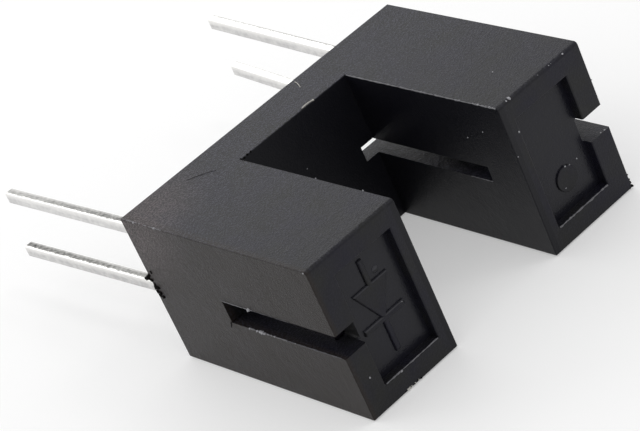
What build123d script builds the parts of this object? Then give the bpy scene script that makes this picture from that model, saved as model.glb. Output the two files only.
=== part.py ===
from build123d import *
import os

# Slotted optical switch: a U-shaped moulded housing that holds an infrared diode and a phototransistor.
# The frame is the housing's own. X runs from the diode's arm to the phototransistor's arm and is zero midway.
# Y runs from the arm tips to the leads and is zero at the face that seats on the board. Z is up with the switch
# lying on one of its U-shaped faces, and is zero at mid thickness. Sizes are in millimetres.

# Housing, outside
gap_width = 5.1  # between the arms, at the gap floor
arm_width = 4.05  # each arm along X, at the seat face
arm_length = 7.8  # gap floor to arm tips
base_height = 2.0  # seat face to gap floor
body_thickness = 6.0  # along Z
outer_taper = 0.18  # each outer face leans in by this much at the tips
gap_taper = 0.085  # each gap face leans in by this much at the tips
edge_radius = 0.04  # rounding of the outer edges
tip_radius = 0.14  # rounding of the tip edges along the upper U-shaped face
rim_radius = 0.06  # rounding of the tip recess rims

# Housing, pockets open at the seat face
outer_wall = 0.8  # outer face to package pocket, at the seat face
gap_wall = 0.6  # gap face to lens channel, at the gap floor
pocket_depth = 8.7  # seat face to pocket end
channel_width = 2.8  # lens channel along Z
web_width = 3.0  # solid web between the two mouths
floor_wall = 0.75  # gap floor to mouth ceiling
package_clearance = 0.05  # between a package's edges and its pocket

# Housing, windows and marks
slit_width = 0.6  # light slit along Z
slit_end = 8.0  # seat face to the slit's far end
slit_reach = 0.6  # how far each slit runs into the gap floor
slot_width = 0.92  # outer slot along Z
slot_start = 4.0  # seat face to the outer slot's closed end
slot_bite = 0.08  # how far the outer slot cuts into the tip panel's edge
slot_corner = 0.1  # rounding along the slot's bottom where it crosses the end wall
recess_depth = 0.36  # tip recess, below the tip face
recess_outer_rim = 0.92  # recess rim along the outer face
recess_gap_rim = 0.54  # recess rim along the gap face
recess_side_rim = 0.79  # recess rims along the two U-shaped faces
pad_radius = 0.46  # round pad that an ejector pin leaves on the phototransistor's tip panel
pad_height = 0.07
pad_rounding = 0.03
pad_offset = 1.13  # from the panel's middle towards the lower face

# Side-looking packages
package_width = 4.3  # along Z
package_length = 5.6  # along Y
package_back = 0.54  # lead plane to back face
package_front = 1.06  # lead plane to front face
package_draft = 8  # degrees on the edges, each way from the lead plane
optical_height = 6.75  # seat face to optical axis
lens_radius = 1.2
lens_height = 0.75

# Lead frame
lead_thickness = 0.33  # across X
lead_width = 0.43  # across Z
lead_pitch = 2.54
lead_length = 10.4  # seat face to lead tips
point_length = 0.12  # blunt point where each lead was cropped
point_thickness = 0.2  # what the point leaves of the thickness
point_width = 0.3  # and of the width
paddle_size = 1.15  # square that carries the die
neck_width = 0.5  # between paddle and lead
post_width = 0.75  # head that takes the bond wire
post_length = 1.3

# How far each lead tip stands from straight: away from the gap, and up
anode_away = 0.14
anode_up = -0.4
cathode_away = 0.46
cathode_up = -0.13
collector_away = 0.28
collector_up = 0.18
emitter_away = 0.34
emitter_up = 0.5

# Dies and bond wires
diode_die_size = 0.36
diode_die_height = 0.2
transistor_die_size = 0.76
transistor_die_height = 0.24
wire_diameter = 0.04

# Places that follow from the sizes
body_width = gap_width + 2 * arm_width
body_height = base_height + arm_length
tip_half_width = body_width / 2 - outer_taper
tip_half_gap = gap_width / 2 - gap_taper
pocket_outer = body_width / 2 - outer_wall
pocket_width = package_width + 2 * package_clearance
lead_place = pocket_outer - package_back
package_face = lead_place - package_front
channel_inner = gap_width / 2 + gap_wall
package_end = pocket_depth - package_clearance
package_start = package_end - package_length
mouth_depth = base_height - floor_wall
recess_outer = tip_half_width - recess_outer_rim
slot_inner = recess_outer - slot_bite
recess_inner = tip_half_gap + recess_gap_rim
recess_height = body_thickness - 2 * recess_side_rim
slit_start = gap_width / 2 - slit_reach
slot_mouth = body_width / 2 + outer_wall
seat_plane = Plane.XZ
tip_plane = Plane.XZ.offset(body_height)
panel_plane = Plane.XZ.offset(body_height - recess_depth)
DIODE_SIDE = -1
TRANSISTOR_SIDE = 1


def across(side, near, far, height):
    """Rectangle on a plane square to Y, between two distances from the middle, centred on Z."""
    with Locations((side * (near + far) / 2, 0)):
        Rectangle(far - near, height)


def along(side, near, far, low, high):
    """Rectangle on the XY plane, between two distances from the middle and two depths from the seat."""
    with Locations((side * (near + far) / 2, -(low + high) / 2)):
        Rectangle(far - near, high - low)


with BuildPart() as housing:
    with BuildSketch(Plane.XY.offset(-body_thickness / 2)):
        with BuildLine():
            Polyline(
                (-body_width / 2, 0),
                (body_width / 2, 0),
                (tip_half_width, -body_height),
                (tip_half_gap, -body_height),
                (gap_width / 2, -base_height),
                (-gap_width / 2, -base_height),
                (-tip_half_gap, -body_height),
                (-tip_half_width, -body_height),
                close=True,
            )
        make_face()
    extrude(amount=body_thickness)
    fillet(housing.edges().filter_by(Axis.X).group_by(Axis.Y)[0].group_by(Axis.Z)[-1], tip_radius)
    blended = housing.faces().filter_by(GeomType.CYLINDER).edges().filter_by(Axis.X)
    gap_corners = housing.edges().filter_by(Axis.Z).group_by(lambda edge: abs(edge.center().X))[1]
    fillet(housing.edges() - blended - gap_corners, edge_radius)
    for side in (DIODE_SIDE, TRANSISTOR_SIDE):
        # Tip recess, with a rounded rim
        with BuildSketch(tip_plane):
            across(side, recess_inner, recess_outer, recess_height)
        extrude(amount=-recess_depth, mode=Mode.SUBTRACT)
        fillet(housing.edges(Select.LAST).group_by(Axis.Y)[0], rim_radius)
        # Mouth in the seat face
        with BuildSketch(seat_plane):
            across(side, web_width / 2, pocket_outer, pocket_width)
        extrude(amount=mouth_depth, mode=Mode.SUBTRACT)
        # Package pocket and the narrower lens channel in front of it
        with BuildSketch(seat_plane):
            across(side, package_face, pocket_outer, pocket_width)
            across(side, channel_inner, package_face, channel_width)
        extrude(amount=pocket_depth, mode=Mode.SUBTRACT)
        # Light slit, through the gap wall and round into the gap floor
        with BuildSketch(Plane.XY):
            along(side, slit_start, channel_inner + gap_wall / 2, mouth_depth / 2, slit_end)
        extrude(amount=slit_width / 2, both=True, mode=Mode.SUBTRACT)
        # Outer slot, open at the tip
        with BuildSketch(Plane.XY):
            along(side, slot_inner, slot_mouth, slot_start, body_height + outer_wall)
        extrude(amount=slot_width / 2, both=True, mode=Mode.SUBTRACT)
        slot_edges = housing.edges(Select.LAST).filter_by(Axis.Y)
        fillet(slot_edges.group_by(lambda edge: abs(edge.center().X))[0], slot_corner)
    # Round pad of the ejector pin
    with BuildSketch(panel_plane):
        with Locations(((recess_inner + recess_outer) / 2, -pad_offset)):
            Circle(pad_radius)
    extrude(amount=pad_height)
    fillet(housing.edges(Select.LAST).group_by(Axis.Y)[0], pad_rounding)


def lead_plane(side):
    """Middle plane of one lead frame: local x is Y, local z points to the gap."""
    return Plane(origin=(side * lead_place, 0, 0), x_dir=(0, 1, 0), z_dir=(-side, 0, 0))


def cross_plane(frame, row, distance, away, up):
    """Plane across one lead at a distance past the seat face, moved by the lean that it has reached there."""
    share = distance / lead_length
    row_place = row * lead_pitch / 2 + frame.y_dir.Z * up * share
    centre = frame.from_local_coords(Vector(distance, row_place, -away * share))
    return Plane(origin=centre, x_dir=frame.z_dir, z_dir=(0, 1, 0))


def lead(side, row, away, up, inner_end):
    """One lead: the stamped inner end that its function draws, then the leaning length and its point."""
    frame = lead_plane(side)
    seat_section, shank_section, tip_section = [
        cross_plane(frame, row, distance, away, up) for distance in (0, lead_length - point_length, lead_length)
    ]
    with BuildPart() as strip:
        with BuildSketch(frame):
            inner_end(row)
        extrude(amount=lead_thickness / 2, both=True)
        with BuildSketch(seat_section, shank_section):
            Rectangle(lead_thickness, lead_width)
        loft()
        with BuildSketch(shank_section):
            Rectangle(lead_thickness, lead_width)
        with BuildSketch(tip_section):
            Rectangle(point_thickness, point_width)
        loft()
    return strip


def paddle_end(row):
    """Square paddle on the optical axis, with a neck that joins it to the lead's strip."""
    strip_end = optical_height + neck_width / 2
    with Locations((-strip_end / 2, row * lead_pitch / 2)):
        Rectangle(strip_end, lead_width)
    with Locations((-optical_height, row * lead_pitch / 4)):
        Rectangle(neck_width, lead_pitch / 2)
    with Locations((-optical_height, 0)):
        Rectangle(paddle_size, paddle_size)


def post_end(row):
    """Widened head beside the paddle, where the bond wire lands."""
    with Locations((-optical_height / 2, row * lead_pitch / 2)):
        Rectangle(optical_height, lead_width)
    with Locations((-optical_height, row * lead_pitch / 2)):
        Rectangle(post_length, post_width)


def die(side, size, height):
    """Square die on the paddle's face."""
    with BuildPart() as chip:
        with BuildSketch(lead_plane(side).offset(lead_thickness / 2)):
            with Locations((-optical_height, 0)):
                Rectangle(size, size)
        extrude(amount=height)
    return chip


def bond_wire(side, row, die_height):
    """Wire that leaves the die squarely, loops over and comes down squarely on the post."""
    frame = lead_plane(side)
    foot = frame.from_local_coords(Vector(-optical_height, 0, lead_thickness / 2))
    loop_plane = Plane(origin=foot, x_dir=frame.y_dir * row, z_dir=frame.x_dir * row)
    span = lead_pitch / 2
    with BuildPart() as wire:
        with BuildLine(loop_plane):
            loop = ThreePointArc((0, die_height), (span / 2, die_height + span / 2), (span, die_height))
            Line((span, die_height), (span, 0))
        with BuildSketch(Plane(origin=loop @ 0, z_dir=frame.z_dir)):
            Circle(wire_diameter / 2)
        sweep()
    return wire


def package(side, inserts):
    """Epoxy body drafted both ways from the lead plane, with a domed lens, hollow where its inserts lie."""
    frame = lead_plane(side)
    lens_axis = Axis(frame.from_local_coords(Vector(-optical_height, 0, 0)), frame.z_dir)
    lens_plane = Plane(origin=lens_axis.position, x_dir=frame.z_dir, z_dir=-frame.x_dir)
    apex = package_front + lens_height
    with BuildPart() as body:
        for depth in (package_front, -package_back):
            with BuildSketch(frame):
                with Locations((-(package_start + package_end) / 2, 0)):
                    Rectangle(package_length, package_width)
            extrude(amount=depth, taper=package_draft)
        with BuildSketch(lens_plane):
            with BuildLine():
                TangentArc((apex, 0), (package_front, lens_radius), tangent=(0, 1))
                Polyline(
                    (package_front, lens_radius),
                    (package_front / 2, lens_radius),
                    (package_front / 2, 0),
                    (apex, 0),
                )
            make_face()
        revolve(axis=lens_axis)
        for insert in inserts:
            add(insert.part, mode=Mode.SUBTRACT)
    return body


# Infrared diode: the anode's row is +1 and carries the wire, the cathode's row is -1 and carries the die
diode_anode_lead = lead(DIODE_SIDE, 1, anode_away, anode_up, post_end)
diode_cathode_lead = lead(DIODE_SIDE, -1, cathode_away, cathode_up, paddle_end)
diode_die = die(DIODE_SIDE, diode_die_size, diode_die_height)
diode_bond_wire = bond_wire(DIODE_SIDE, 1, diode_die_height)
diode_inserts = (diode_anode_lead, diode_cathode_lead, diode_die, diode_bond_wire)
diode_package = package(DIODE_SIDE, diode_inserts)

# Phototransistor: the same lead frame, turned round to face the diode
transistor_emitter_lead = lead(TRANSISTOR_SIDE, 1, emitter_away, emitter_up, post_end)
transistor_collector_lead = lead(TRANSISTOR_SIDE, -1, collector_away, collector_up, paddle_end)
transistor_die = die(TRANSISTOR_SIDE, transistor_die_size, transistor_die_height)
transistor_bond_wire = bond_wire(TRANSISTOR_SIDE, 1, transistor_die_height)
transistor_inserts = (transistor_emitter_lead, transistor_collector_lead, transistor_die, transistor_bond_wire)
transistor_package = package(TRANSISTOR_SIDE, transistor_inserts)

pieces = {
    "housing": housing,
    "diode_package": diode_package,
    "diode_anode_lead": diode_anode_lead,
    "diode_cathode_lead": diode_cathode_lead,
    "diode_die": diode_die,
    "diode_bond_wire": diode_bond_wire,
    "transistor_package": transistor_package,
    "transistor_collector_lead": transistor_collector_lead,
    "transistor_emitter_lead": transistor_emitter_lead,
    "transistor_die": transistor_die,
    "transistor_bond_wire": transistor_bond_wire,
}
os.makedirs("parts", exist_ok=True)
for name, piece in pieces.items():
    piece.part.label = name
    export_step(piece.part, f"parts/{name}.step")
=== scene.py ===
"""Looks of a slotted optical switch: moulded housing, tinned leads, raised mould marks, wear and stage."""
import math
import random

import bmesh
import bpy
from bpy.props import FloatProperty, FloatVectorProperty, IntProperty, PointerProperty
from bpy.types import Operator, Panel, PropertyGroup
from mathutils import Matrix, Vector


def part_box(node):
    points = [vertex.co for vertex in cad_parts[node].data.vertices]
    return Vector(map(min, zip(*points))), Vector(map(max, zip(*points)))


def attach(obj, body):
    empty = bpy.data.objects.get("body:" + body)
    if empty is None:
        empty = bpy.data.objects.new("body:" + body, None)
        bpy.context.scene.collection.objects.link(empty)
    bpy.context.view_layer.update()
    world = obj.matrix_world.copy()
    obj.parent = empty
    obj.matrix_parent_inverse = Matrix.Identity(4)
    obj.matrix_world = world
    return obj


bl_info = {
    "name": "Slotted Optical Switch",
    "version": (1, 0, 0),
    "blender": (4, 5, 0),
    "location": "View3D > Sidebar > Switch",
    "description": "Dresses the packed switch with its materials, mould marks, wear and stage",
    "category": "Object",
}

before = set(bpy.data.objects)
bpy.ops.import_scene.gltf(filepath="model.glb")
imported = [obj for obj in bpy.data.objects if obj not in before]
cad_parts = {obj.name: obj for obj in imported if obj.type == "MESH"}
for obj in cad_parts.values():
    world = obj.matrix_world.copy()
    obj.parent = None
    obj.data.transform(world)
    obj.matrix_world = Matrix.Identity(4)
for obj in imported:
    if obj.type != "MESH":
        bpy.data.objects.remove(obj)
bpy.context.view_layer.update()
MM = 0.001

# Places and sizes on the switch, in millimetres. The first three are the housing's side at the diode's
# arm, the arm tips' plane and the lower side.
HOUSING_SIDE, TIP, LOWER_SIDE = (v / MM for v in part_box("housing")[0])
OUTER_DEPTH = 0.25  # the outer faces lean in, and lie within this of the housing's side
GAP_FLOOR = -2.0  # the gap's closed end
GAP_REACH = 2.7  # from the middle to just past the gap's walls
GAP_SLACK = 0.05  # what is this near to the gap's closed end belongs to the gap
RECESS_FLOOR = -9.44  # of both tip recesses
RECESS_SLACK = 0.03  # what is this near to that depth belongs to a recess floor
HALF_SLOT = 0.46  # half the outer slot's width
HALF_PITCH = 1.27  # from the middle of the thickness to a lead
STRIP_THICKNESS = 0.33  # of the lead frames' strip
POINT_LENGTH = 0.1  # roughly the blunt point at each lead's tip
TIP_STRETCH = 0.2  # the length at a lead's tip that tells where its centre line ends

FACING = 0.5  # a normal with more than this along an axis faces that way


def linear(hex_colour):
    """An sRGB hex colour as the linear red, green and blue that a shader takes."""
    shares = [int(hex_colour[i : i + 2], 16) / 255 for i in (1, 3, 5)]
    return tuple(s / 12.92 if s <= 0.04045 else ((s + 0.055) / 1.055) ** 2.4 for s in shares)


def colour(name, description, hex_colour):
    """A colour property with a hex default."""
    default = linear(hex_colour)
    return FloatVectorProperty(
        name=name, description=description, default=default, subtype="COLOR", size=3, min=0, max=1
    )


def size(name, description, millimetres):
    """A length property with a default in millimetres."""
    default = millimetres * MM
    return FloatProperty(name=name, description=description, default=default, unit="LENGTH", precision=6)


def share(name, description, default):
    """A property from 0 to 1."""
    return FloatProperty(name=name, description=description, default=default, min=0, max=1, subtype="FACTOR")


def place(name, description, millimetres):
    """A point in the switch's frame, with a default in millimetres."""
    default = [v * MM for v in millimetres]
    return FloatVectorProperty(
        name=name, description=description, default=default, subtype="XYZ", unit="LENGTH", size=3
    )


def power(name, description, watts):
    """A lamp's power, with a default in watts."""
    return FloatProperty(name=name, description=description, default=watts, unit="POWER")


class HousingLook(PropertyGroup):
    """Black moulded plastic of the housing"""

    # The blue cast of this black is painted cool light
    plastic: colour("Plastic", "Black of the moulded plastic", "#0e0d1b")
    grey_plastic: colour("Grey plastic", "Where the black leans to grey", "#171717")
    # Painted warm light: a brown tint on the outer face at the diode's arm
    warm_light_tint: colour("Warm light tint", "Where the black leans to brown", "#1e1712")
    dust: colour("Dust", "Pale dust that handling rubs onto the grain", "#5a5052")
    speck: colour("Speck", "Paler specks between the grain's pits", "#40404b")
    # Painted light: the recess floors are painted a lighter, bluer black
    recess_floor_light: colour("Recess floor light", "Black of the recess floors, a little greyer", "#1a1a21")
    # Painted shade: the gap's walls and floor are painted darker than the other faces
    gap_shade: colour("Gap shade", "Black of the gap's faces, which nothing rubs", "#0b0b12")
    patch: size("Patch", "Size of the slow changes of tone", 1.6)
    blotch: size("Blotch", "Size of the small blotches that the mould leaves", 0.3)
    grain: size("Grain", "Spark-eroded grain of the mould, as coarse as it needs to show", 0.065)
    grain_depth: size("Grain depth", "Height of the grain", 0.045)
    roughness: share("Roughness", "Roughness of the matt face", 0.42)
    smooth_roughness: share("Smooth roughness", "Roughness of the smoother recess floors", 0.24)
    gloss: share("Gloss", "Specular level that the grain's pits leave", 0.25)
    dusty_corner: place("Dusty corner", "Corner that is handled most", (-6.5, -0.2, 3.1))
    dusty_reach: size("Dust reach", "How far the dust reaches from that corner", 3.6)


class PackageLook(PropertyGroup):
    """Dark epoxy that passes infrared"""

    epoxy: colour("Epoxy", "Dark violet black of the dyed epoxy", "#141018")
    roughness: share("Roughness", "Roughness of the moulded epoxy", 0.3)


class LeadLook(PropertyGroup):
    """Tin plated lead strip"""

    tin: colour("Tin", "Plated tin", "#f6f5f2")
    # Also painted shade: this tone darkens the rolled faces, most below the ridge
    dull_and_shaded_tin: colour("Dull and shaded tin", "Tin of the rolled faces, a little dulled", "#bebdbd")
    torn: colour("Torn metal", "Rough metal where the stamping tore the edge", "#2b2b29")
    roughness: share("Roughness", "Roughness of the plating", 0.3)
    torn_roughness: share("Torn roughness", "Roughness of the torn edge", 0.55)
    streak: size("Streak", "Width of the draw lines along the strip", 0.06)
    ragged: size("Ragged line", "Length of the teeth along the torn edge's border", 0.12)
    diode_torn: share("Torn share, diode", "How much of its leads' stamped edge tore", 0.76)
    transistor_torn: share("Torn share, phototransistor", "How much of its leads' stamped edge tore", 0.18)


class SymbolLook(PropertyGroup):
    """Diode symbol raised on the floor of one tip recess"""

    centre: size("Centre", "Middle of the symbol along X", -4.34)
    floor: size("Floor", "Recess floor along Y", RECESS_FLOOR)
    height: size("Height", "How far the symbol stands up", 0.1)
    line: size("Line", "Width of the lines", 0.2)
    half_base: size("Half base", "Half the triangle's base", 0.78)
    half_bar: size("Half bar", "Half the bar's length", 0.9)
    anode_end: size("Anode end", "Upper end of the symbol along Z", 1.85)
    base: size("Base", "Triangle's base along Z", 0.93)
    bar: size("Bar", "Upper side of the bar along Z", -0.35)
    cathode_end: size("Cathode end", "Lower end of the symbol along Z", -1.74)
    bump_place: place("Bump", "Small round bump beside the anode line", (-3.91, RECESS_FLOOR, 1.18))
    bump_radius: size("Bump radius", "Radius of that bump", 0.13)
    # Painted highlight along the raised marks' upward edges
    edge_highlight: colour("Edge highlight", "Edges of raised marks, rubbed paler", "#34343a")


class WearLook(PropertyGroup):
    """Flash, burrs, crumbs and fibres"""

    whitened: colour("Whitened plastic", "Broken plastic that has turned pale", "#b4b4b9")
    # Painted highlight: the pale tone of the flash beads along lit edges
    flash_highlight: colour("Flash highlight", "Scuffed edge, half whitened", "#7a7a7e")
    faint_flash_highlight: colour("Faint flash highlight", "Thin flash, paler than the faces", "#55555a")
    torn: colour("Torn plastic", "Torn black plastic, fresh and dark", "#0a0908")
    fibre: colour("Fibre", "Pale fibre", "#cfccc6")
    lint: colour("Lint", "Dark lint", "#1a1a1c")
    crumb_scale: FloatProperty(name="Crumb scale", description="Scale of all crumbs", default=1.0, min=0)
    seed: IntProperty(name="Seed", description="Seed of the ragged shapes", default=7)


class StageLook(PropertyGroup):
    """Camera, lamps and floor"""

    camera_place: place("Camera", "Place of the camera", (-37.424, -66.862, 40.841))
    camera_aim: place("Aim", "Point that the camera looks at", (-1.202, -2.922, -0.160))
    camera_roll: FloatProperty(
        name="Roll", description="Turn about the view axis", default=math.radians(-24.725), subtype="ANGLE"
    )
    lens: FloatProperty(name="Lens", description="Focal length, 36 mm sensor", default=138.68, unit="CAMERA")
    floor_tone: colour("Floor", "Pale floor", "#dcdcdc")
    lift: share("Lift", "White that the floor adds for the camera", 0.31)
    ambient: share("Ambient", "Light from all round", 0.95)
    back_power: power("Back lamp", "Softbox above and behind", 0.06)
    left_power: power("Left lamp", "Softbox on the leads' left", 0.05)
    key_power: power("Key lamp", "Small lamp above and in front", 0.01)


def add_node(material, kind, inputs=None, **settings):
    """One node with its settings. An input is a value, or the output that feeds it."""
    made = material.node_tree.nodes.new(kind)
    for name, value in settings.items():
        setattr(made, name, value)
    for name, value in (inputs or {}).items():
        if isinstance(value, bpy.types.NodeSocket):
            material.node_tree.links.new(value, made.inputs[name])
        else:
            made.inputs[name].default_value = value
    return made


def new_material(name):
    """An empty node material, and its object coordinates in millimetres."""
    material = bpy.data.materials.new(name)
    material.use_nodes = True
    material.node_tree.nodes.clear()
    coordinates = add_node(material, "ShaderNodeTexCoord")
    scaled = add_node(
        material,
        "ShaderNodeVectorMath",
        {0: coordinates.outputs["Object"], "Scale": 1 / MM},
        operation="SCALE",
    )
    return material, scaled.outputs["Vector"]


def face_direction(material):
    """The way that each face points, as outputs X, Y and Z."""
    coordinates = add_node(material, "ShaderNodeTexCoord")
    return add_node(material, "ShaderNodeSeparateXYZ", {"Vector": coordinates.outputs["Normal"]}).outputs


def finish_material(material, surface):
    """Sends a shader to the material's output."""
    output = add_node(material, "ShaderNodeOutputMaterial")
    material.node_tree.links.new(surface.outputs[0], output.inputs["Surface"])
    return material


def rgba(property_colour):
    """A colour property as a shader's four numbers."""
    return (*property_colour, 1)


def dress(node, material):
    """Gives a node of the frame its material."""
    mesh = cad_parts[node].data
    mesh.materials.clear()
    mesh.materials.append(material)


def keep_piece(name, mesh_maker, material):
    """Links a finished bmesh as a piece on the switch's body."""
    mesh = bpy.data.meshes.new(name)
    bmesh.ops.recalc_face_normals(mesh_maker, faces=mesh_maker.faces[:])
    mesh_maker.to_mesh(mesh)
    mesh_maker.free()
    mesh.materials.append(material)
    piece = bpy.data.objects.new(name, mesh)
    bpy.context.scene.collection.objects.link(piece)
    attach(piece, "root")
    return piece


# Fixed values of the housing's looks
WARM_LIGHT_FADE = 0.15  # millimetres over which the painted warm light of the outer face ends
RECESS_LIGHT_SHARE = 0.8  # share of the painted light on the recess floors that shows
BLOTCH_HEIGHT = 0.5  # of the blotches, as a share of the grain's height
GAP_CALM = 0.6  # how far the gap's grain goes from full to calm
ROUGHNESS_SPREAD = 0.05  # to each side, over the slow changes of tone


def outer_face_warm_light(material, spot):
    """How far painted warm light tints the black brown: on the outer face of the diode's arm alone."""
    start = HOUSING_SIDE + OUTER_DEPTH
    tint_share = add_node(
        material,
        "ShaderNodeMapRange",
        {"Value": spot["X"], "From Min": start, "From Max": start + WARM_LIGHT_FADE, "To Min": 0.8, "To Max": 0.0},
    )
    return tint_share.outputs["Result"]


def speck_and_sheen_share(material, spot, facing, grain):
    """How much the specks between the grain's pits show: as painted sheen most on upward faces, and dimmed as
    painted shade towards the tips.
    """
    between_pits = add_node(
        material, "ShaderNodeMapRange", {"Value": grain, "From Min": 0.48, "From Max": 0.64}
    )
    # Painted sheen: the specks show most where faces look up to the light
    upward_sheen = add_node(
        material,
        "ShaderNodeMapRange",
        {"Value": facing["Z"], "From Min": 0.5, "From Max": 0.9, "To Min": 0.3, "To Max": 1.0},
    )
    # Painted shade: the specks fade towards the dim tips
    tipward_dimming = add_node(
        material,
        "ShaderNodeMapRange",
        {"Value": spot["Y"], "From Min": TIP, "From Max": GAP_FLOOR, "To Min": 0.3, "To Max": 1.0},
    )
    on_face = add_node(
        material,
        "ShaderNodeMath",
        {0: upward_sheen.outputs["Result"], 1: tipward_dimming.outputs["Result"]},
        operation="MULTIPLY",
    )
    shown = add_node(
        material,
        "ShaderNodeMath",
        {0: between_pits.outputs["Result"], 1: on_face.outputs[0]},
        operation="MULTIPLY",
    )
    return shown.outputs[0]


def recess_floor_mask(material, spot, facing_tip):
    """1 on the floors of the tip recesses, and 0 elsewhere."""
    at_depth = add_node(
        material, "ShaderNodeMath", {0: spot["Y"], 1: RECESS_FLOOR, 2: RECESS_SLACK}, operation="COMPARE"
    )
    floor = add_node(
        material, "ShaderNodeMath", {0: at_depth.outputs[0], 1: facing_tip}, operation="MULTIPLY"
    )
    return floor.outputs[0]


def gap_face_mask(material, spot, facing):
    """1 on the gap's walls and floor, and 0 elsewhere."""
    beside_gap = add_node(
        material, "ShaderNodeMath", {0: spot["X"], 1: 0.0, 2: GAP_REACH}, operation="COMPARE"
    )
    below_base = add_node(
        material, "ShaderNodeMath", {0: spot["Y"], 1: GAP_FLOOR + GAP_SLACK}, operation="LESS_THAN"
    )
    upright = add_node(material, "ShaderNodeMath", {0: facing["Z"], 1: 0.0, 2: FACING}, operation="COMPARE")
    in_gap = add_node(
        material, "ShaderNodeMath", {0: beside_gap.outputs[0], 1: below_base.outputs[0]}, operation="MULTIPLY"
    )
    face = add_node(
        material, "ShaderNodeMath", {0: in_gap.outputs[0], 1: upright.outputs[0]}, operation="MULTIPLY"
    )
    return face.outputs[0]


def dust_share(material, look, position, grain):
    """How much dust shows: near the corner that is handled most, mainly between the grain's pits."""
    away = add_node(
        material,
        "ShaderNodeVectorMath",
        {0: position, 1: [v / MM for v in look.dusty_corner]},
        operation="DISTANCE",
    )
    reach = look.dusty_reach / MM
    near_corner = add_node(
        material,
        "ShaderNodeMapRange",
        {"Value": away.outputs["Value"], "From Min": 0.6, "From Max": reach, "To Min": 1.0, "To Max": 0.0},
        interpolation_type="SMOOTHSTEP",
    )
    between_pits = add_node(
        material,
        "ShaderNodeMapRange",
        {"Value": grain, "From Min": 0.42, "From Max": 0.66, "To Min": 0.05, "To Max": 1.2},
    )
    dust = add_node(
        material,
        "ShaderNodeMath",
        {0: near_corner.outputs["Result"], 1: between_pits.outputs["Result"]},
        operation="MULTIPLY",
        use_clamp=True,
    )
    return dust.outputs[0]


def housing_relief(material, look, position, grain, facing_tip, gap_face):
    """The grain over small blotches, as a bump: calmest on faces to the tips, and less so in the gap."""
    blotches = add_node(
        material, "ShaderNodeTexNoise", {"Vector": position, "Scale": MM / look.blotch, "Detail": 1.0}
    )
    height = add_node(
        material,
        "ShaderNodeMath",
        {0: blotches.outputs["Fac"], 1: BLOTCH_HEIGHT, 2: grain},
        operation="MULTIPLY_ADD",
    )
    gap_calm = add_node(material, "ShaderNodeMath", {0: gap_face, 1: GAP_CALM}, operation="MULTIPLY")
    calm = add_node(material, "ShaderNodeMath", {0: facing_tip, 1: gap_calm.outputs[0]}, operation="MAXIMUM")
    strength = add_node(
        material, "ShaderNodeMapRange", {"Value": calm.outputs[0], "To Min": 0.6, "To Max": 0.22}
    )
    bump = add_node(
        material,
        "ShaderNodeBump",
        {"Height": height.outputs[0], "Distance": look.grain_depth, "Strength": strength.outputs["Result"]},
    )
    return bump.outputs["Normal"]


def moulded_plastic(look):
    """Black thermoplastic from a spark-eroded mould: matt, finely grained, patchy, dusty at a corner; with
    painted warm light on the outer face, painted sheen on the specks, painted light on the recess floors and
    painted shade in the gap.
    """
    material, position = new_material("Moulded black plastic")
    spot = add_node(material, "ShaderNodeSeparateXYZ", {"Vector": position}).outputs
    facing = face_direction(material)
    patches = add_node(
        material,
        "ShaderNodeTexNoise",
        {"Vector": position, "Scale": MM / look.patch, "Detail": 3.0, "Roughness": 0.55},
    )
    grain_noise = add_node(
        material,
        "ShaderNodeTexNoise",
        {"Vector": position, "Scale": MM / look.grain, "Detail": 2.0, "Roughness": 0.6},
    )
    grain = grain_noise.outputs["Fac"]
    patchy = add_node(
        material, "ShaderNodeMapRange", {"Value": patches.outputs["Fac"], "From Min": 0.35, "From Max": 0.65}
    )
    tipward = add_node(material, "ShaderNodeMath", {0: facing["Y"], 1: -FACING}, operation="LESS_THAN")
    facing_tip = tipward.outputs[0]
    recess_floor = recess_floor_mask(material, spot, facing_tip)
    floor_lightening = add_node(
        material, "ShaderNodeMath", {0: recess_floor, 1: RECESS_LIGHT_SHARE}, operation="MULTIPLY"
    )
    gap_face = gap_face_mask(material, spot, facing)
    # The share that shows of each colour, and the colour, which lies over those before it
    layers = (
        (patchy.outputs["Result"], look.grey_plastic),
        # Painted warm light on the outer face
        (outer_face_warm_light(material, spot), look.warm_light_tint),
        # Grain specks, with painted sheen on upward faces
        (speck_and_sheen_share(material, spot, facing, grain), look.speck),
        # Painted light on the recess floors
        (floor_lightening.outputs[0], look.recess_floor_light),
        # Painted shade in the gap
        (gap_face, look.gap_shade),
        (dust_share(material, look, position, grain), look.dust),
    )
    tone = rgba(look.plastic)
    for shown, over in layers:
        laid = add_node(
            material, "ShaderNodeMix", {"Factor": shown, "A": tone, "B": rgba(over)}, data_type="RGBA"
        )
        tone = laid.outputs["Result"]
    smoothest = look.roughness - ROUGHNESS_SPREAD
    roughest = look.roughness + ROUGHNESS_SPREAD
    matt = add_node(
        material,
        "ShaderNodeMapRange",
        {"Value": patches.outputs["Fac"], "To Min": smoothest, "To Max": roughest},
    )
    roughness = add_node(
        material, "ShaderNodeMix", {0: recess_floor, 2: matt.outputs["Result"], 3: look.smooth_roughness}
    )
    surface = add_node(
        material,
        "ShaderNodeBsdfPrincipled",
        {
            "Base Color": tone,
            "Roughness": roughness.outputs[0],
            "Normal": housing_relief(material, look, position, grain, facing_tip, gap_face),
            "Specular IOR Level": look.gloss,
        },
    )
    return finish_material(material, surface)


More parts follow.
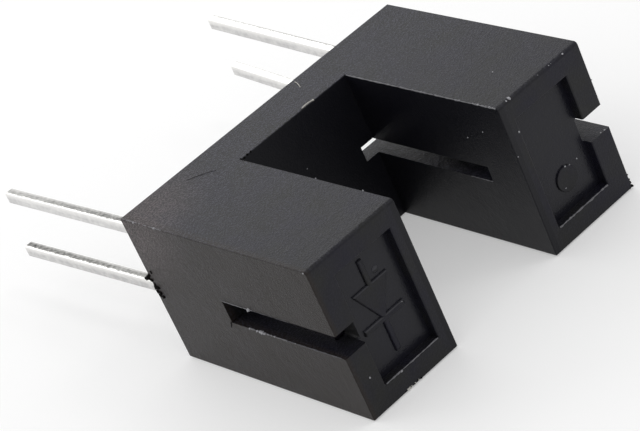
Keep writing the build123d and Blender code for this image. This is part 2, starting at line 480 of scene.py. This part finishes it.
def hazy_finish(name, tone, patch, smoothest, roughest, metallic=0.0, detail=2.0):
    """A surface of one tone, whose roughness wanders over patches of a size in millimetres."""
    material, position = new_material(name)
    haze = add_node(
        material, "ShaderNodeTexNoise", {"Vector": position, "Scale": 1 / patch, "Detail": detail}
    )
    roughness = add_node(
        material,
        "ShaderNodeMapRange",
        {"Value": haze.outputs["Fac"], "To Min": smoothest, "To Max": roughest},
    )
    surface = add_node(
        material,
        "ShaderNodeBsdfPrincipled",
        {"Base Color": rgba(tone), "Metallic": metallic, "Roughness": roughness.outputs["Result"]},
    )
    return finish_material(material, surface)


# Each lead's wear and painted shade: how deep its stamped edge tore at the seat and at the tip, and how much
# painted shade darkens its rolled faces' lower part
LEAD_WEAR_AND_SHADE = {
    "diode_anode_lead": (1.0, 0.7, 0.85),
    "diode_cathode_lead": (0.75, 1.0, 1.0),
    "transistor_collector_lead": (0.8, 0.5, 0.9),
    "transistor_emitter_lead": (0.5, 0.4, 0.85),
}
# How the tin dulls, and where its painted shade and painted highlight lie
DRAW_STRETCH = 0.06  # width of a draw line as a share of its length
MOTTLE = 1 / 3.5  # millimetres across one mottle
MOTTLING = 0.6  # share of the mottles, the rest being draw lines
RIDGE_START = -0.03  # millimetres above the centre line where the painted highlight along the upper ridge begins
RIDGE_CREST = 0.19  # and where it is brightest
# The torn band along a stamped edge, in millimetres
PIT = 1 / 7  # across one pit of the torn metal
BORDER_STRAY = 0.08  # how far the teeth of its border reach to each side
BORDER_BLUR = 0.015  # half the width over which the border blurs
FADE_START = 0.14  # from the border to where the tear grows shallower
FADE_END = 0.3  # from the border to where it is shallowest


def above_centre(material, lead, spot):
    """Height above a lead's centre line, which climbs or sinks from the seat to the tip."""
    low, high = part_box(lead)
    lead_end = high.y / MM
    seat_height = math.copysign(HALF_PITCH, low.z + high.z)
    points = [vert.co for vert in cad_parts[lead].data.vertices]
    tip_heights = [point.z / MM for point in points if point.y / MM > lead_end - TIP_STRETCH]
    tip_height = (min(tip_heights) + max(tip_heights)) / 2
    centre = add_node(
        material,
        "ShaderNodeMath",
        {0: spot["Y"], 1: (tip_height - seat_height) / lead_end, 2: seat_height},
        operation="MULTIPLY_ADD",
    )
    above = add_node(material, "ShaderNodeMath", {0: spot["Z"], 1: centre.outputs[0]}, operation="SUBTRACT")
    return above.outputs[0]


def off_middle(material, lead, spot):
    """Distance along X from the middle of a lead's strip, which leans outwards from the seat to the tip."""
    low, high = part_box(lead)
    outward = math.copysign(1.0, low.x)
    inner, outer = sorted((abs(low.x) / MM, abs(high.x) / MM))
    lean = (outer - inner - STRIP_THICKNESS) / (high.y / MM - POINT_LENGTH)
    middle = add_node(
        material,
        "ShaderNodeMath",
        {0: spot["Y"], 1: outward * lean, 2: outward * (inner + STRIP_THICKNESS / 2)},
        operation="MULTIPLY_ADD",
    )
    off = add_node(material, "ShaderNodeMath", {0: spot["X"], 1: middle.outputs[0]}, operation="SUBTRACT")
    return off.outputs[0]


def dull_and_shade_share(material, look, lead, position, spot, stamped):
    """How dull the tin is: mottled along the draw lines, and laid on the rolled faces as painted shade, most
    on their lower part, with a painted highlight towards their upper ridge.
    """
    stretched = add_node(
        material, "ShaderNodeMapping", {"Vector": position, "Scale": (1.0, DRAW_STRETCH, 1.0)}
    )
    lines = add_node(
        material,
        "ShaderNodeTexNoise",
        {"Vector": stretched.outputs["Vector"], "Scale": MM / look.streak, "Detail": 2.0},
    )
    mottles = add_node(
        material,
        "ShaderNodeTexNoise",
        {"Vector": position, "Scale": 1 / MOTTLE, "Detail": 3.0, "Roughness": 0.6},
    )
    mottled = add_node(
        material, "ShaderNodeMix", {0: MOTTLING, 2: lines.outputs["Fac"], 3: mottles.outputs["Fac"]}
    )
    dullness = add_node(
        material,
        "ShaderNodeMapRange",
        {"Value": mottled.outputs[0], "From Min": 0.36, "From Max": 0.64, "To Min": 0.6, "To Max": 1.12},
    )
    height = above_centre(material, lead, spot)
    lower_shade = LEAD_WEAR_AND_SHADE[lead][2]
    shade_below_ridge = add_node(
        material,
        "ShaderNodeMapRange",
        {"Value": height, "From Min": RIDGE_START, "From Max": RIDGE_CREST, "To Min": lower_shade, "To Max": 0.1},
    )
    rolled = add_node(material, "ShaderNodeMapRange", {"Value": stamped, "To Min": 1.0, "To Max": 0.15})
    on_rolled_face = add_node(
        material,
        "ShaderNodeMath",
        {0: shade_below_ridge.outputs["Result"], 1: rolled.outputs["Result"]},
        operation="MULTIPLY",
    )
    dulled = add_node(
        material,
        "ShaderNodeMath",
        {0: dullness.outputs["Result"], 1: on_rolled_face.outputs[0]},
        operation="MULTIPLY",
    )
    return dulled.outputs[0]


def torn_depth(material, look, lead, torn_share, position, spot, stamped):
    """How deep the metal tore: on the stamped edge, past a ragged border, and fading away from it."""
    off = off_middle(material, lead, spot)
    teeth = add_node(
        material,
        "ShaderNodeTexNoise",
        {"Vector": position, "Scale": MM / look.ragged, "Detail": 2.0, "Roughness": 0.7},
    )
    wander = add_node(
        material,
        "ShaderNodeMapRange",
        {"Value": teeth.outputs["Fac"], "To Min": -BORDER_STRAY, "To Max": BORDER_STRAY},
    )
    ragged = add_node(material, "ShaderNodeMath", {0: off, 1: wander.outputs["Result"]}, operation="ADD")
    border = (0.5 - torn_share) * STRIP_THICKNESS
    past_border = add_node(
        material,
        "ShaderNodeMapRange",
        {"Value": ragged.outputs[0], "From Min": border - BORDER_BLUR, "From Max": border + BORDER_BLUR},
    )
    fading = add_node(
        material,
        "ShaderNodeMapRange",
        {
            "Value": off,
            "From Min": border + FADE_START,
            "From Max": border + FADE_END,
            "To Min": 1.0,
            "To Max": 0.45,
        },
    )
    band = add_node(
        material,
        "ShaderNodeMath",
        {0: past_border.outputs["Result"], 1: fading.outputs["Result"]},
        operation="MULTIPLY",
    )
    lead_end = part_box(lead)[1].y / MM
    torn_at_seat, torn_at_tip, _ = LEAD_WEAR_AND_SHADE[lead]
    deepness = add_node(
        material,
        "ShaderNodeMapRange",
        {"Value": spot["Y"], "From Max": lead_end, "To Min": torn_at_seat, "To Max": torn_at_tip},
    )
    deep_band = add_node(
        material, "ShaderNodeMath", {0: band.outputs[0], 1: deepness.outputs["Result"]}, operation="MULTIPLY"
    )
    torn = add_node(material, "ShaderNodeMath", {0: deep_band.outputs[0], 1: stamped}, operation="MULTIPLY")
    return torn.outputs[0]


def tin_plate(look, lead, torn_share):
    """Stamped steel strip with tin plating: bright, with faint draw lines, dull where its edge tore, and with
    painted shade low on its rolled faces.
    """
    material, position = new_material("Tin plate, " + lead.replace("_", " "))
    spot = add_node(material, "ShaderNodeSeparateXYZ", {"Vector": position}).outputs
    facing = face_direction(material)
    level = add_node(material, "ShaderNodeMath", {0: facing["Z"]}, operation="ABSOLUTE")
    stamped_edge = add_node(
        material, "ShaderNodeMapRange", {"Value": level.outputs[0], "From Min": 0.6, "From Max": 0.8}
    )
    stamped = stamped_edge.outputs["Result"]
    bright = add_node(
        material,
        "ShaderNodeMix",
        {
            "Factor": dull_and_shade_share(material, look, lead, position, spot, stamped),
            "A": rgba(look.tin),
            "B": rgba(look.dull_and_shaded_tin),
        },
        data_type="RGBA",
    )
    torn = torn_depth(material, look, lead, torn_share, position, spot, stamped)
    pits = add_node(
        material,
        "ShaderNodeTexNoise",
        {"Vector": position, "Scale": 1 / PIT, "Detail": 3.0, "Roughness": 0.65},
    )
    patchy = add_node(
        material,
        "ShaderNodeMapRange",
        {"Value": pits.outputs["Fac"], "From Min": 0.3, "From Max": 0.7, "To Min": 1.0, "To Max": 0.6},
    )
    torn_here = add_node(
        material, "ShaderNodeMath", {0: torn, 1: patchy.outputs["Result"]}, operation="MULTIPLY"
    )
    tone = add_node(
        material,
        "ShaderNodeMix",
        {"Factor": torn_here.outputs[0], "A": bright.outputs["Result"], "B": rgba(look.torn)},
        data_type="RGBA",
    )
    roughness = add_node(
        material,
        "ShaderNodeMapRange",
        {"Value": torn, "To Min": look.roughness, "To Max": look.torn_roughness},
    )
    bump = add_node(
        material, "ShaderNodeBump", {"Height": pits.outputs["Fac"], "Distance": 0.008 * MM, "Strength": 0.5}
    )
    surface = add_node(
        material,
        "ShaderNodeBsdfPrincipled",
        {
            "Base Color": tone.outputs["Result"],
            "Metallic": 1.0,
            "Roughness": roughness.outputs["Result"],
            "Normal": bump.outputs["Normal"],
        },
    )
    return finish_material(material, surface)


CLOUD = 1 / 12  # millimetres across one patch of a small piece's tone
CLOUD_DARKNESS = 0.55  # of the darkest patches, as a share of the tone


def plain_finish(name, tone, roughness, gloss=0.3):
    """A small surface, for crumbs, flash, fibres and painted highlights, whose tone wanders a little."""
    material, position = new_material(name)
    cloud = add_node(material, "ShaderNodeTexNoise", {"Vector": position, "Scale": 1 / CLOUD, "Detail": 2.0})
    dark = [v * CLOUD_DARKNESS for v in tone]
    shade = add_node(
        material,
        "ShaderNodeMix",
        {"Factor": cloud.outputs["Fac"], "A": rgba(tone), "B": rgba(dark)},
        data_type="RGBA",
    )
    surface = add_node(
        material,
        "ShaderNodeBsdfPrincipled",
        {"Base Color": shade.outputs["Result"], "Roughness": roughness, "Specular IOR Level": gloss},
    )
    return finish_material(material, surface)


class SWITCH_OT_housing(Operator):
    """Dress the moulded housing"""

    bl_idname = "switch.housing"
    bl_label = "Housing"

    def execute(self, context):
        dress("housing", moulded_plastic(context.scene.switch_housing))
        return {"FINISHED"}


EPOXY_SPREAD = 0.08  # of the epoxy's roughness, to each side


class SWITCH_OT_packages(Operator):
    """Dress the two epoxy packages"""

    bl_idname = "switch.packages"
    bl_label = "Packages"

    def execute(self, context):
        look = context.scene.switch_package
        # Transfer moulded epoxy, dyed to pass infrared: dark and smooth
        epoxy = hazy_finish(
            "Infrared epoxy",
            look.epoxy,
            patch=0.5,
            smoothest=look.roughness - EPOXY_SPREAD,
            roughest=look.roughness + EPOXY_SPREAD,
            detail=3.0,
        )
        for node in ("diode_package", "transistor_package"):
            dress(node, epoxy)
        return {"FINISHED"}


class SWITCH_OT_leads(Operator):
    """Dress the four leads"""

    bl_idname = "switch.leads"
    bl_label = "Leads"

    def execute(self, context):
        look = context.scene.switch_lead
        for node in ("diode_anode_lead", "diode_cathode_lead"):
            dress(node, tin_plate(look, node, look.diode_torn))
        for node in ("transistor_collector_lead", "transistor_emitter_lead"):
            dress(node, tin_plate(look, node, look.transistor_torn))
        return {"FINISHED"}


class SWITCH_OT_dies(Operator):
    """Dress the dies and their bond wires"""

    bl_idname = "switch.dies"
    bl_label = "Dies and bond wires"

    def execute(self, context):
        # Sawn and polished silicon: dark grey with a cool shine
        silicon = hazy_finish(
            "Polished silicon", linear("#4a4c55"), patch=0.125, smoothest=0.12, roughest=0.2, metallic=0.7
        )
        # Drawn gold bond wire: bright and warm
        gold = hazy_finish(
            "Drawn gold", linear("#e0ab56"), patch=0.025, smoothest=0.18, roughest=0.3, metallic=1.0
        )
        for side in ("diode", "transistor"):
            dress(f"{side}_die", silicon)
            dress(f"{side}_bond_wire", gold)
        return {"FINISHED"}


SYMBOL_SINK = 0.2  # share of the symbol's height that is also sunk into the floor, so that no gap shows
SYMBOL_ROUNDING = 0.6  # of its crest, as a share of its height
BUMP_FLATNESS = 0.28  # height of the bump as a share of its radius
BUMP_REACH = 1.2  # faces within this many radii belong to the bump
HIGHLIGHT_TILT = 0.3  # a line's face gets the painted highlight where its normal climbs more than this


def symbol_outline(look):
    """The diode symbol's corners, as X from its middle and Z: down its left side, then up its right."""
    half_line = look.line / 2
    right = [
        (half_line, look.anode_end),
        (half_line, look.base),
        (look.half_base, look.base),
        (half_line, look.bar),
        (look.half_bar, look.bar),
        (look.half_bar, look.bar - look.line),
        (half_line, look.bar - look.line),
        (half_line, look.cathode_end),
    ]
    return [(-x, z) for x, z in right] + [(x, z) for x, z in reversed(right)]


def paint_highlight_on_upper_edges(symbol, look):
    """Paints a highlight on the edges that face up, and on the bump's whole upper half."""
    # Painted highlight: a paler line along the raised edges that face up, where light would catch them
    symbol.data.materials.append(plain_finish("Painted edge highlight", look.edge_highlight, roughness=0.4))
    for face in symbol.data.polygons:
        on_bump = (face.center - Vector(look.bump_place)).length < look.bump_radius * BUMP_REACH
        least_climb = 0.0 if on_bump else HIGHLIGHT_TILT
        if face.normal.z > least_climb:
            face.material_index = 1


class SWITCH_OT_symbol(Operator):
    """Raise the diode symbol on the recess floor"""

    bl_idname = "switch.symbol"
    bl_label = "Diode symbol"

    def execute(self, context):
        look = context.scene.switch_symbol
        sunk = look.floor + look.height * SYMBOL_SINK
        maker = bmesh.new()
        corners = [maker.verts.new((look.centre + x, sunk, z)) for x, z in symbol_outline(look)]
        raised = bmesh.ops.extrude_face_region(maker, geom=[maker.faces.new(corners)])
        top = [part for part in raised["geom"] if isinstance(part, bmesh.types.BMVert)]
        bmesh.ops.translate(maker, verts=top, vec=(0, look.floor - look.height - sunk, 0))
        crest = [edge for edge in maker.edges if all(vert in top for vert in edge.verts)]
        bmesh.ops.bevel(
            maker,
            geom=crest,
            offset=look.height * SYMBOL_ROUNDING,
            segments=4,
            profile=0.5,
            affect="EDGES",
            material=-1,
        )
        bump = bmesh.ops.create_icosphere(maker, subdivisions=3, radius=look.bump_radius)
        bmesh.ops.scale(maker, vec=(1, BUMP_FLATNESS, 1), verts=bump["verts"])
        bmesh.ops.translate(maker, vec=look.bump_place, verts=bump["verts"])
        plastic = bpy.data.materials["Moulded black plastic"]
        paint_highlight_on_upper_edges(keep_piece("diode_symbol", maker, plastic), look)
        return {"FINISHED"}


CRUMB_JAGS = (0.65, 1.2)  # nearest and farthest corner of a crumb, as shares of its radius
CRUMB_STRETCH = (0.75, 1.25)  # least and most that a crumb is stretched along each axis


def add_crumb(maker, centre, diameter, chance):
    """Adds one broken crumb, whose place and size are in millimetres."""
    made = bmesh.ops.create_icosphere(maker, subdivisions=1, radius=diameter * MM / 2)
    for vert in made["verts"]:
        vert.co *= chance.uniform(*CRUMB_JAGS)
    stretch = [chance.uniform(*CRUMB_STRETCH) for _ in range(3)]
    bmesh.ops.scale(maker, vec=stretch, verts=made["verts"])
    bmesh.ops.translate(maker, vec=Vector(centre) * MM, verts=made["verts"])


THREAD_STEP = 0.09  # roughly, between the rings of points along a thread, in millimetres
LEAST_RINGS = 3  # on a short thread, between its two ends


def fill_thread(maker, start, end, bow, diameter, raggedness, chance):
    """Fills an empty bmesh with a thin ragged thread, bowed to one side. Its sizes are in millimetres."""
    start = Vector(start) * MM
    end = Vector(end) * MM
    run = end - start
    turn = run.to_track_quat("Z", "Y").to_matrix().to_4x4()
    bmesh.ops.create_cone(
        maker,
        cap_ends=True,
        segments=6,
        radius1=diameter * MM / 2,
        radius2=diameter * MM / 2,
        depth=run.length,
        matrix=Matrix.Translation((start + end) / 2) @ turn,
    )
    long_edges = [edge for edge in maker.edges if edge.calc_length() > run.length / 2]
    cuts = max(LEAST_RINGS, round(run.length / (THREAD_STEP * MM)))
    bmesh.ops.subdivide_edges(maker, edges=long_edges, cuts=cuts)
    # The rings of points, each under its share of the way along
    rings = {}
    for vert in maker.verts:
        along = (vert.co - start).dot(run) / run.length_squared
        rings.setdefault(round(along, 3), []).append(vert)
    for along in sorted(rings):
        shift = Vector(bow) * MM * math.sin(math.pi * min(max(along, 0), 1))
        girth = chance.uniform(1 - raggedness, 1 + raggedness)
        middle = start + run * along
        for vert in sorted(rings[along], key=lambda v: tuple(v.co)):
            jag = chance.uniform(1 - raggedness / 2, 1 + raggedness / 2)
            vert.co = middle + (vert.co - middle) * girth * jag
            vert.co += shift


# Crumbs and burrs: x, y, z and diameter of each in a piece, in millimetres
CRUMBS = {
    "edge_crumbs": (
        (4.15, -7.95, 3.0, 0.08),
        (2.53, -6.17, 2.99, 0.05),
        (2.50, -6.75, 2.99, 0.05),
        (2.50, -7.93, 2.99, 0.06),
        (2.49, -8.61, 2.99, 0.05),
        (2.49, -9.23, 2.99, 0.06),
        (3.10, -9.72, 2.97, 0.15),
        (2.95, -9.74, 2.96, 0.07),
        (4.47, -9.75, 2.95, 0.07),
        (5.03, -9.75, 2.95, 0.07),
        (5.13, -9.75, 2.95, 0.05),
        (5.71, -9.75, 2.95, 0.09),
        (6.42, -9.78, 1.44, 0.08),
        (-6.53, -1.89, 2.98, 0.08),
        (-6.55, -0.75, 2.98, 0.08),
        (-6.48, -4.43, 2.98, 0.06),
        (-6.51, -3.3, 2.98, 0.04),
        (-6.54, -1.2, 2.98, 0.04),
        (2.92, -9.8, 1.78, 0.08),
        (2.52, -9.79, 1.06, 0.06),
        (4.94, -9.44, -0.81, 0.07),
        (-4.76, -9.79, -2.24, 0.09),
        (-3.54, -9.52, -0.4, 0.06),
        (-5.92, -9.8, -1.59, 0.08),
        (-6.42, -9.68, 2.96, 0.08),
        (-0.37, -2.0, 1.04, 0.05),
        (2.48, -7.6, 1.44, 0.07),
        (2.47, -8.54, 1.84, 0.05),
        (-2.49, -5.95, 2.98, 0.08),
        (-2.47, -8.33, 2.98, 0.07),
        (2.49, -8.85, 2.985, 0.08),
        (2.485, -9.05, 2.985, 0.06),
        (2.48, -9.42, 2.985, 0.08),
        (2.47, -9.56, 2.985, 0.07),
        (6.03, -9.74, -HALF_SLOT, 0.08),
        (6.21, -9.76, -HALF_SLOT, 0.08),
        (4.33, -9.5, -0.69, 0.07),
        (4.53, -9.5, -0.76, 0.05),
        (4.05, -9.5, -1.38, 0.06),
    ),
    "corner_burrs": (
        (6.42, -9.74, -2.95, 0.2),
        (6.34, -9.76, -2.97, 0.13),
        (6.44, -9.7, -2.84, 0.15),
        (6.43, -9.76, -2.68, 0.1),
        (6.44, -9.74, -2.5, 0.08),
        (6.38, -9.72, -2.95, 0.15),
        (-4.92, -9.78, -2.96, 0.09),
        (-4.7, -9.81, -2.93, 0.06),
        (-4.52, -9.81, -2.96, 0.06),
        (-4.36, -9.81, -2.93, 0.06),
        (-4.2, -9.78, -2.96, 0.09),
    ),
    "slot_crumbs": (
        (-6.5, -5.44, HALF_SLOT, 0.15),
        (-6.51, -4.95, -HALF_SLOT, 0.09),
        (-6.5, -5.34, -HALF_SLOT, 0.1),
        (-6.5, -5.48, -HALF_SLOT, 0.14),
        (-6.5, -5.6, -HALF_SLOT, 0.12),
        (-6.5, -5.74, -HALF_SLOT, 0.1),
        (-6.49, -5.9, -HALF_SLOT, 0.07),
        (-6.49, -6.08, -HALF_SLOT, 0.06),
        (-6.48, -6.24, -HALF_SLOT, 0.08),
        (-6.48, -6.5, -HALF_SLOT, 0.05),
        (-6.47, -7.3, -HALF_SLOT, 0.05),
    ),
    "seat_burrs": (
        (-6.54, -0.3, 0.78, 0.2),
        (-6.54, -0.1, 0.62, 0.27),
        (-6.55, 0.07, 0.48, 0.26),
        (-6.56, 0.2, 0.41, 0.2),
        (-6.57, 0.33, 0.36, 0.15),
        (-6.54, -0.05, 0.36, 0.27),
        (-6.55, -0.17, 0.26, 0.24),
        (-6.55, -0.12, 0.12, 0.25),
        (-6.56, -0.27, 0.11, 0.2),
        (-6.55, -0.12, -0.08, 0.24),
        (-6.56, -0.26, -0.12, 0.21),
        (-6.56, -0.15, -0.26, 0.21),
        (-6.57, -0.32, -0.28, 0.15),
    ),
    "gap_burrs": (
        (-2.53, -2.0, 2.97, 0.14),
        (-2.4, -2.0, 2.97, 0.11),
        (-2.24, -2.0, 2.98, 0.1),
        (-2.56, -2.12, 2.97, 0.12),
        (-2.57, -2.25, 2.97, 0.09),
        (-2.08, -2.0, 2.98, 0.08),
    ),
}
CRUMB_FINISHES = {
    "edge_crumbs": "whitened",
    "corner_burrs": "torn",
    "slot_crumbs": "whitened",
    "seat_burrs": "torn",
    "gap_burrs": "torn",
}
# Flash, nicks and fibres: name, start, end and diameter in millimetres, raggedness and finish
# The flash beads' pale finishes are painted highlights along the edges
THREADS = (
    ("slot_upper_flash", (-6.53, -4.03, HALF_SLOT), (-6.5, -5.6, HALF_SLOT), 0.03, 0.4, "flash_highlight"),
    ("slot_upper_flash_end", (-6.5, -5.6, HALF_SLOT), (-6.465, -7.5, HALF_SLOT), 0.02, 0.5, "faint_flash_highlight"),
    ("slot_lower_flash", (-6.5, -4.9, -HALF_SLOT), (-6.48, -6.9, -HALF_SLOT), 0.035, 0.6, "flash_highlight"),
    ("slot_lower_flash_end", (-6.48, -6.9, -HALF_SLOT), (-6.42, -9.6, -HALF_SLOT), 0.03, 0.6, "faint_flash_highlight"),
    ("near_recess_flash", (-5.45, -9.79, -2.22), (-3.03, -9.79, -2.22), 0.035, 0.7, "flash_highlight"),
    ("far_recess_flash", (3.03, -9.79, -2.22), (5.48, -9.79, -2.22), 0.05, 0.7, "flash_highlight"),
    ("far_gap_flash", (2.5, -6.2, 2.985), (2.465, -9.7, 2.985), 0.045, 0.5, "flash_highlight"),
    ("base_gap_flash", (0.46, -1.94, 3.0), (1.0, -1.98, 3.0), 0.065, 0.4, "fibre"),
    ("top_hair", (-4.13, -0.82, 3.0), (-3.33, -1.53, 3.0), 0.022, 0.2, "lint"),
    ("top_fibre", (1.66, -0.2, 3.0), (1.45, -0.75, 3.0), 0.028, 0.2, "fibre"),
    ("corner_flash", (-6.56, -0.02, 2.985), (-6.53, -2.3, 2.985), 0.04, 0.4, "flash_highlight"),
    ("tip_nick", (-4.86, -9.76, -2.95), (-4.26, -9.76, -2.95), 0.11, 0.5, "fibre"),
    ("far_gap_flash_start", (2.55, -2.05, 2.985), (2.5, -6.2, 2.985), 0.045, 0.5, "flash_highlight"),
    ("slit_flash", (2.495, -6.9, -0.3), (2.48, -8.0, -0.3), 0.03, 0.5, "flash_highlight"),
    ("slot_inner_flash", (-5.42, -9.44, -0.45), (-5.42, -8.9, -0.45), 0.035, 0.3, "faint_flash_highlight"),
    ("slot_corner_nick", (-6.53, -3.95, -0.44), (-6.535, -3.82, -0.7), 0.035, 0.4, "torn"),
)
# How far the middle of a thread bows out, in millimetres, where it isn't straight
BOWS = {
    "base_gap_flash": (0, 0.03, 0.01),
    "top_hair": (0.03, 0.04, 0),
    "top_fibre": (0.02, 0, 0.02),
}
STRAIGHT = (0, 0, 0)
THREAD_SEEDS = 100  # keeps the threads' seeds away from the crumbs'


def wear_finishes(look):
    """The finishes of broken plastic and of what sticks to it."""
    return {
        # Plastic that broke off and turned pale: bright matt specks
        "whitened": plain_finish("Stress whitened plastic", look.whitened, roughness=0.5),
        # Thin flash along an edge, painted pale for the highlight that the edge catches: a thin grey line
        "flash_highlight": plain_finish("Flash with painted highlight", look.flash_highlight, roughness=0.5),
        # Thin flash with a fainter painted highlight: a fainter line
        "faint_flash_highlight": plain_finish("Flash with faint painted highlight", look.faint_flash_highlight, roughness=0.45),
        # Fresh tear in black plastic: darker than the faces, with hardly a shine
        "torn": plain_finish("Torn black plastic", look.torn, roughness=0.8, gloss=0.08),
        # Fibre of paper packing: pale and dull
        "fibre": plain_finish("Paper fibre", look.fibre, roughness=0.8),
        # Lint of dark cloth: a black hair, dull
        "lint": plain_finish("Dark lint", look.lint, roughness=0.8),
    }


class SWITCH_OT_wear(Operator):
    """Add the flash, burrs, crumbs and fibres"""

    bl_idname = "switch.wear"
    bl_label = "Wear"

    def execute(self, context):
        look = context.scene.switch_wear
        finishes = wear_finishes(look)
        for number, (name, spots) in enumerate(CRUMBS.items()):
            chance = random.Random(look.seed + number)
            maker = bmesh.new()
            for *centre, diameter in spots:
                add_crumb(maker, centre, diameter * look.crumb_scale, chance)
            keep_piece(name, maker, finishes[CRUMB_FINISHES[name]])
        for number, (name, start, end, diameter, raggedness, finish) in enumerate(THREADS):
            chance = random.Random(look.seed * THREAD_SEEDS + number)
            maker = bmesh.new()
            fill_thread(maker, start, end, BOWS.get(name, STRAIGHT), diameter, raggedness, chance)
            keep_piece(name, maker, finishes[finish])
        return {"FINISHED"}


FLOOR_GAP = 0.05  # from the housing to the floor, in millimetres, which leaves room for its burrs
FLOOR_HALF = 1.5  # half the floor's side, in metres


def seen_ray(material):
    """1 for the rays that show the background: those of the camera, of gloss and of glass."""
    path = add_node(material, "ShaderNodeLightPath")
    gloss = add_node(
        material,
        "ShaderNodeMath",
        {0: path.outputs["Is Camera Ray"], 1: path.outputs["Is Glossy Ray"]},
        operation="MAXIMUM",
    )
    every = add_node(
        material,
        "ShaderNodeMath",
        {0: gloss.outputs[0], 1: path.outputs["Is Transmission Ray"]},
        operation="MAXIMUM",
    )
    return every.outputs[0]


def pale_paper(look):
    """Matt paper backdrop: plain and pale, lifted to white for the camera, with the switch's soft shadow."""
    paper = bpy.data.materials.new("Pale paper")
    paper.use_nodes = True
    paper.node_tree.nodes.clear()
    strength = add_node(paper, "ShaderNodeMath", {0: seen_ray(paper), 1: look.lift}, operation="MULTIPLY")
    glow = add_node(paper, "ShaderNodeEmission", {"Strength": strength.outputs[0]})
    matt = add_node(paper, "ShaderNodeBsdfDiffuse", {"Color": rgba(look.floor_tone)})
    both = add_node(paper, "ShaderNodeAddShader", {0: glow.outputs[0], 1: matt.outputs[0]})
    return finish_material(paper, both)


def add_floor(look):
    """A wide flat floor just under the switch."""
    maker = bmesh.new()
    bmesh.ops.create_grid(maker, x_segments=1, y_segments=1, size=FLOOR_HALF)
    height = (LOWER_SIDE - FLOOR_GAP) * MM
    bmesh.ops.translate(maker, verts=maker.verts[:], vec=(0, 0, height))
    mesh = bpy.data.meshes.new("floor")
    maker.to_mesh(mesh)
    maker.free()
    mesh.materials.append(pale_paper(look))
    floor = bpy.data.objects.new("floor", mesh)
    bpy.context.scene.collection.objects.link(floor)


def light_studio(look):
    """A world of even light, which the camera sees as white."""
    world = bpy.data.worlds.new("Studio")
    bpy.context.scene.world = world
    world.use_nodes = True
    world.node_tree.nodes.clear()
    level = add_node(
        world, "ShaderNodeMapRange", {"Value": seen_ray(world), "To Min": look.ambient, "To Max": 1.0}
    )
    sky = add_node(world, "ShaderNodeBackground", {"Strength": level.outputs["Result"]})
    output = add_node(world, "ShaderNodeOutputWorld")
    world.node_tree.links.new(sky.outputs[0], output.inputs["Surface"])


# Each softbox's place, width and height, in metres
SOFTBOXES = {
    "back softbox": ((0.03, 0.13, 0.11), 0.16, 0.10),
    "left softbox": ((-0.098, 0.152, 0.086), 0.08, 0.08),
    "key lamp": ((0.06, -0.07, 0.11), 0.03, 0.03),
}


def add_softbox(name, watts):
    """A softbox that faces the switch."""
    position, width, height = SOFTBOXES[name]
    lamp = bpy.data.lights.new(name, "AREA")
    lamp.shape = "RECTANGLE"
    lamp.size = width
    lamp.size_y = height
    lamp.energy = watts
    lamp_object = bpy.data.objects.new(name, lamp)
    lamp_object.location = position
    lamp_object.rotation_euler = (-Vector(position)).to_track_quat("-Z", "Y").to_euler()
    bpy.context.scene.collection.objects.link(lamp_object)


def add_camera(look):
    """The camera at the photo's viewing angle."""
    camera = bpy.data.cameras.new("photo camera")
    camera.lens = look.lens
    camera.sensor_width = 36.0
    camera.sensor_fit = "HORIZONTAL"
    camera.clip_start = 0.001
    camera_object = bpy.data.objects.new("photo camera", camera)
    bpy.context.scene.collection.objects.link(camera_object)
    sight = Vector(look.camera_aim) - Vector(look.camera_place)
    level_turn = sight.to_track_quat("-Z", "Y").to_matrix()
    turn = level_turn @ Matrix.Rotation(look.camera_roll, 3, "Z")
    camera_object.matrix_world = Matrix.Translation(look.camera_place) @ turn.to_4x4()
    bpy.context.scene.camera = camera_object


class SWITCH_OT_stage(Operator):
    """Set up the floor, the lamps and the camera"""

    bl_idname = "switch.stage"
    bl_label = "Stage"

    def execute(self, context):
        look = context.scene.switch_stage
        context.scene.view_settings.view_transform = "Standard"
        add_floor(look)
        light_studio(look)
        add_softbox("back softbox", look.back_power)
        add_softbox("left softbox", look.left_power)
        add_softbox("key lamp", look.key_power)
        add_camera(look)
        return {"FINISHED"}


STEPS = (
    SWITCH_OT_housing,
    SWITCH_OT_packages,
    SWITCH_OT_leads,
    SWITCH_OT_dies,
    SWITCH_OT_symbol,
    SWITCH_OT_wear,
    SWITCH_OT_stage,
)
LOOKS = {
    "switch_housing": HousingLook,
    "switch_package": PackageLook,
    "switch_lead": LeadLook,
    "switch_symbol": SymbolLook,
    "switch_wear": WearLook,
    "switch_stage": StageLook,
}


class SWITCH_PT_panel(Panel):
    """Lists the steps that dress the switch"""

    bl_idname = "SWITCH_PT_panel"
    bl_label = "Slotted optical switch"
    bl_space_type = "VIEW_3D"
    bl_region_type = "UI"
    bl_category = "Switch"

    def draw(self, context):
        for step in STEPS:
            self.layout.operator(step.bl_idname)
        for name, look in LOOKS.items():
            box = self.layout.box()
            box.label(text=look.__doc__)
            for key in look.__annotations__:
                box.prop(getattr(context.scene, name), key)


def register():
    for look in LOOKS.values():
        bpy.utils.register_class(look)
    for name, look in LOOKS.items():
        setattr(bpy.types.Scene, name, PointerProperty(type=look))
    for step in STEPS:
        bpy.utils.register_class(step)
    bpy.utils.register_class(SWITCH_PT_panel)


def unregister():
    bpy.utils.unregister_class(SWITCH_PT_panel)
    for step in reversed(STEPS):
        bpy.utils.unregister_class(step)
    for name, look in LOOKS.items():
        delattr(bpy.types.Scene, name)
        bpy.utils.unregister_class(look)


def main():
    register()
    bpy.ops.switch.housing()
    bpy.ops.switch.packages()
    bpy.ops.switch.leads()
    bpy.ops.switch.dies()
    bpy.ops.switch.symbol()
    bpy.ops.switch.wear()
    bpy.ops.switch.stage()


if __name__ == "__main__":
    main()
